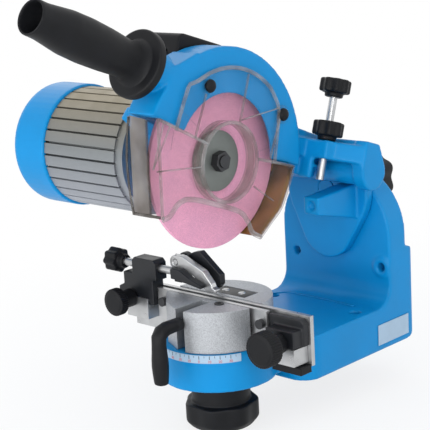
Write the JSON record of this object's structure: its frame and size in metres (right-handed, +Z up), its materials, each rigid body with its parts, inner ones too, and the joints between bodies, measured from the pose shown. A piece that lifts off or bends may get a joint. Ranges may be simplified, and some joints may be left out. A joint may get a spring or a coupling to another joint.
{
  "type": "electric chainsaw sharpener",
  "caption": "Bench grinder for saw chains: a tilting, hinged head with motor, abrasive wheel and clear guard over a swivelling chain vise with stop pawls, on a cast base.",
  "frame": {"origin": "middle of the flat underside of the foot, on its centre pad", "axes": "+X from the operator to the column, +Y from the wheel to the motor, +Z up"},
  "size_m": [0.3966, 0.293, 0.3718],
  "materials": {
    "blue_paint": "semi-gloss powder paint",
    "cast_aluminium": "satin as cast and turned",
    "steel": "zinc plated",
    "dark_steel": "blackened",
    "black_plastic": "moulded, fine grain",
    "black_paint": "satin black",
    "pink_abrasive": "vitrified grit",
    "clear_plastic": "clear moulded plastic",
    "label_white": "printed film",
    "copper": "enamelled wire",
    "laminate": "stacked sheet"
  },
  "bodies": {
    "base": {"base_casting": "blue_paint", "angle_scale": "label_white", "label_plate": "label_white", "tilt_bolt": "dark_steel"},
    "tilt_knob": {"tilt_lock_knob": "black_plastic"},
    "bracket": {"tilt_bracket": "blue_paint", "head_hinge_pin": "steel", "return_spring": "steel"},
    "head": {"head_casting": "blue_paint", "handle_grip": "black_plastic", "handle_stud": "steel", "switch_box": "black_plastic", "cable_gland": "black_plastic", "wheel_guard": "clear_plastic", "guard_screw_left": "black_plastic", "guard_screw_right": "black_plastic", "motor_shell": "cast_aluminium", "motor_end_cap": "blue_paint", "rear_end_shield": "cast_aluminium", "stator_core": "laminate", "front_winding": "copper", "rear_winding": "copper", "front_bearing": "steel", "rear_bearing": "steel"},
    "rocker": {"switch_rocker": "black_plastic"},
    "spindle": {"rotor_core": "laminate", "motor_shaft": "steel", "cooling_fan": "black_plastic", "inner_flange": "steel", "grinding_wheel": "pink_abrasive", "outer_flange": "steel", "spindle_nut": "dark_steel"},
    "depth_screw": {"depth_rod": "steel"},
    "depth_grip": {"depth_knob": "black_plastic"},
    "depth_lock": {"depth_lock_knob": "black_plastic"},
    "vise": {"vise_drum": "cast_aluminium", "vise_bolt": "steel", "fixed_rail": "steel", "rail_bolt_left": "dark_steel", "rail_bolt_right": "dark_steel", "drum_screw": "dark_steel"},
    "vise_knob": {"vise_lock_knob": "black_plastic"},
    "jaw": {"moving_rail": "steel"},
    "lever": {"clamp_lever": "black_plastic"},
    "guide": {"guide_block": "black_paint", "guide_bracket": "steel", "guide_pad": "black_plastic", "guide_nut": "steel"},
    "guide_grip": {"guide_knob": "black_plastic"},
    "stop": {"stop_block": "black_paint", "stop_bracket": "steel", "stop_nut": "steel"},
    "stop_grip": {"stop_lock_knob": "black_plastic"},
    "stop_screw": {"stop_rod": "steel", "stop_arm": "black_paint", "pawl_pin": "steel", "pawl_spacer": "steel"},
    "feed_grip": {"stop_knob": "black_plastic"},
    "silver_pawl": {"chain_pawl_silver": "steel"},
    "black_pawl": {"chain_pawl_black": "black_paint"}
  },
  "joints": [
    {"name": "head_tilt", "type": "hinge", "parent": "base", "child": "bracket", "pos_m": [0.038, 0, 0.14], "axis": [-1, 0, 0], "range_deg": [-35, 0]},
    {"name": "tilt_knob_turn", "type": "hinge", "parent": "base", "child": "tilt_knob", "pos_m": [0.085, 0, 0.14], "axis": [1, 0, 0], "range_deg": [0, 180]},
    {"name": "head_swing", "type": "hinge", "parent": "bracket", "child": "head", "pos_m": [0.026, 0, 0.162], "axis": [0, -1, 0], "range_deg": [0, 14], "stiffness_Nm_per_rad": 12, "springref_deg": -63.03},
    {"name": "wheel_spin", "type": "hinge", "parent": "head", "child": "spindle", "pos_m": [-0.11204, 0, 0.192], "axis": [0, 1, 0], "continuous": true},
    {"name": "switch_rock", "type": "hinge", "parent": "head", "child": "rocker", "pos_m": [-0.12636, 0.036, 0.27173], "axis": [0, 1, 0], "range_deg": [0, 14]},
    {"name": "depth_feed", "type": "slide", "parent": "head", "child": "depth_screw", "axis": [0.319, 0, 0.9478], "range_m": [-0.004, 0.012]},
    {"name": "depth_turn", "type": "hinge", "parent": "depth_screw", "child": "depth_grip", "pos_m": [0.01833, -0.026, 0.23422], "axis": [0.319, 0, 0.9478], "range_deg": [-961, 2881]},
    {"name": "depth_lock_turn", "type": "hinge", "parent": "head", "child": "depth_lock", "pos_m": [0.00685, -0.026, 0.2001], "axis": [0.319, 0, 0.9478], "range_deg": [0, 180]},
    {"name": "vise_swivel", "type": "hinge", "parent": "base", "child": "vise", "pos_m": [-0.117, 0, 0.043], "axis": [0, 0, 1], "range_deg": [-35, 35]},
    {"name": "vise_knob_turn", "type": "hinge", "parent": "vise", "child": "vise_knob", "pos_m": [-0.117, 0, -0.02], "axis": [0, 0, 1], "range_deg": [0, 180]},
    {"name": "clamp_turn", "type": "hinge", "parent": "vise", "child": "lever", "pos_m": [-0.177, -0.004, 0.0675], "axis": [1, 0, 0], "range_deg": [0, 90]},
    {"name": "jaw_slide", "type": "slide", "parent": "vise", "child": "jaw", "axis": [1, 0, 0], "range_m": [0, 0.00301]},
    {"name": "guide_slide", "type": "slide", "parent": "vise", "child": "guide", "axis": [0, -1, 0], "range_m": [0, 0.006]},
    {"name": "guide_knob_turn", "type": "hinge", "parent": "guide", "child": "guide_grip", "pos_m": [-0.15, -0.083, 0.057], "axis": [1, 0, 0], "range_deg": [0, 90]},
    {"name": "stop_slide", "type": "slide", "parent": "vise", "child": "stop", "axis": [0, 1, 0], "range_m": [0, 0.006]},
    {"name": "stop_lock_turn", "type": "hinge", "parent": "stop", "child": "stop_grip", "pos_m": [-0.147, 0.088, 0.066], "axis": [1, 0, 0], "range_deg": [0, 90]},
    {"name": "stop_feed", "type": "slide", "parent": "stop", "child": "stop_screw", "axis": [0, 1, 0], "range_m": [0, 0.005]},
    {"name": "stop_turn", "type": "hinge", "parent": "stop_screw", "child": "feed_grip", "pos_m": [-0.122, 0.11, 0.094], "axis": [0, 1, 0], "range_deg": [-1, 1801]},
    {"name": "silver_pawl_lift", "type": "hinge", "parent": "stop_screw", "child": "silver_pawl", "pos_m": [-0.1152, 0.0445, 0.1005], "axis": [-1, 0, 0], "range_deg": [0, 12]},
    {"name": "black_pawl_lift", "type": "hinge", "parent": "stop_screw", "child": "black_pawl", "pos_m": [-0.1045, 0.0445, 0.1005], "axis": [-1, 0, 0], "range_deg": [0, 12]}
  ],
  "couplings": [
    {"joint": "depth_turn", "follows": "depth_feed", "rad_per_m": 4188.8},
    {"joint": "jaw_slide", "follows": "clamp_turn", "m_per_rad": 0.0019099},
    {"joint": "stop_turn", "follows": "stop_feed", "rad_per_m": 6283.2}
  ]
}
